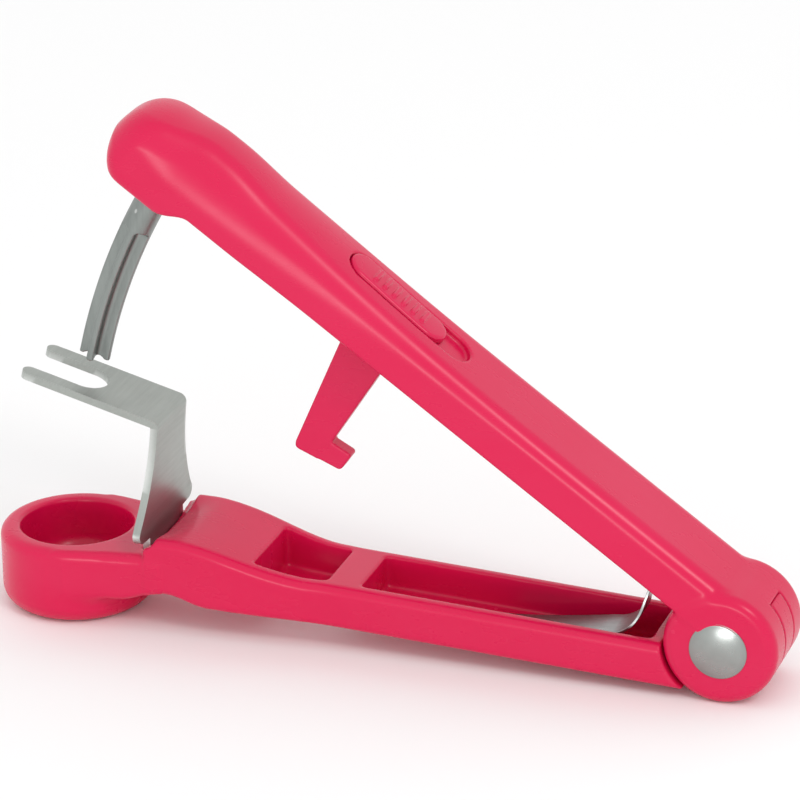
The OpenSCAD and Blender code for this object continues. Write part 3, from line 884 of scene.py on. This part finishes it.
crimson = moulded_plastic("crimson_plastic", colour=(0.64, 0.003, 0.064, 1),
                          deep=(0.59, 0.001, 0.054, 1), worn=(0.70, 0.05, 0.14, 1))
crimson_lock = moulded_plastic("crimson_lock_plastic", colour=(0.63, 0.003, 0.065, 1),
                               deep=(0.58, 0.001, 0.055, 1), worn=(0.70, 0.06, 0.15, 1))
fork_steel = brushed_metal("fork_sheet", rgb(172, 176, 171), rgb(154, 158, 154), rough=0.34,
                           stretch=(1, 0.06, 1), line_scale=1400, bump_depth=0.00001)
plunger_steel = brushed_metal("plunger_casting", rgb(150, 155, 152), rgb(124, 129, 126), rough=0.34,
                              stretch=(1, 1, 0.12), line_scale=700, bump_depth=0.00002)
spring_steel = brushed_metal("spring_strip", rgb(176, 178, 178), rgb(120, 124, 124), rough=0.22,
                             stretch=(0.08, 1, 1), line_scale=1500, bump_depth=0.00001)
rivet_steel = turned_metal("rivet_head", rgb(168, 172, 169), rgb(140, 144, 141))

ARM_CELL, BUTTON_CELL, HOOK_CELL, PLUNGER_CELL = 0.45, 0.2, 0.3, 0.22

points, faces = skin(lower_arm_solid, (-18, -18, -1), (REACH + 14, 18, 24), ARM_CELL)
piece("lower_arm_moulding", points, faces, CUP_FRAME, crimson, "lower", "lower_arm")

points, faces = skin(upper_arm_solid, (-UPPER_LEN - 1, -12.5, -13.5), (13.5, 12.5, 16), ARM_CELL)
piece("upper_arm_moulding", points, faces, ARM_FRAME, crimson, "upper", "upper_arm")

points, faces = skin(button_solid, (-113, -5, 9.5), (-84, 5, 14), BUTTON_CELL)
piece("thumb_button", points, faces, ARM_FRAME, crimson_lock, "lock", "lock_button")

points, faces = skin(hook_solid, (-104.5, -5, -33), (-84, 5, 12), HOOK_CELL)
piece("hook", points, faces, ARM_FRAME, crimson_lock, "lock", "lock_hook")

points, faces = skin(plunger_solid, (-1, -4, -4), (PLUNGER_LEN + 1, 4, 4), PLUNGER_CELL)
piece("cross_ribbed_plunger", bend(points), faces, HINGE_FRAME, plunger_steel, "upper",
      "plunger")

make_fork(fork_steel)
make_spring(spring_steel)
make_rivet("rivet_near", -1, "rivet_pin", rivet_steel)
make_rivet("rivet_far", 1, "rivet_cap", rivet_steel)

# ---------------------------------------------------------------- studio


def area_light(name, position, target, size, power):
    lamp = bpy.data.lights.new(name, "AREA")
    lamp.shape = "RECTANGLE"
    lamp.size, lamp.size_y = size
    lamp.energy = power
    holder = bpy.data.objects.new(name, lamp)
    holder.location = position
    holder.visible_camera = False
    holder.rotation_euler = (Vector(target) - Vector(position)).to_track_quat("-Z", "Y").to_euler()
    bpy.context.scene.collection.objects.link(holder)


def studio():
    floor_mesh = bpy.data.meshes.new("floor")
    far = 4.0
    corners = [(-far, -far, 0), (far, -far, 0), (far, far, 0), (-far, far, 0)]
    floor_mesh.from_pydata(corners, [], [(0, 1, 2, 3)])
    paper = Finish("paper_floor")
    paper.set("Base Color", (0.93, 0.93, 0.93, 1))
    paper.set("Roughness", 0.9)
    floor_mesh.materials.append(paper.material)
    floor = bpy.data.objects.new("floor", floor_mesh)
    bpy.context.scene.collection.objects.link(floor)
    area_light("key_softbox", (0.66, -0.55, 0.86), (0, 0, 0.05), (0.27, 0.27), 2.4)
    area_light("low_front_softbox", (0.02, -1.2, 0.12), (0, 0, 0.05), (0.42, 0.14), 1.9)
    world = bpy.data.worlds.new("studio_world")
    world.use_nodes = True
    world.node_tree.nodes["Background"].inputs["Color"].default_value = (1, 1, 1, 1)
    world.node_tree.nodes["Background"].inputs["Strength"].default_value = 1.0
    bpy.context.scene.world = world
    bpy.context.scene.view_settings.view_transform = "Standard"


def camera():
    azimuth, elevation, roll = (math.radians(a) for a in (19.773, 22.429, -1.066))
    distance, target = 0.968, Vector((0.003583, 0, 0.055968))
    back = Vector((math.sin(azimuth) * math.cos(elevation), -math.cos(azimuth) * math.cos(elevation),
                   math.sin(elevation)))
    level = Vector((math.cos(azimuth), math.sin(azimuth), 0))
    rise = back.cross(level)
    right = level * math.cos(roll) + rise * math.sin(roll)
    up = rise * math.cos(roll) - level * math.sin(roll)
    lens = bpy.data.cameras.new("camera")
    lens.sensor_width = 36
    lens.lens = 204.8
    lens.clip_start, lens.clip_end = 0.05, 20
    holder = bpy.data.objects.new("camera", lens)
    turn = Matrix((right, up, back)).transposed().to_4x4()
    holder.matrix_world = Matrix.Translation(target + back * distance) @ turn
    bpy.context.scene.collection.objects.link(holder)
    bpy.context.scene.camera = holder


studio()
camera()
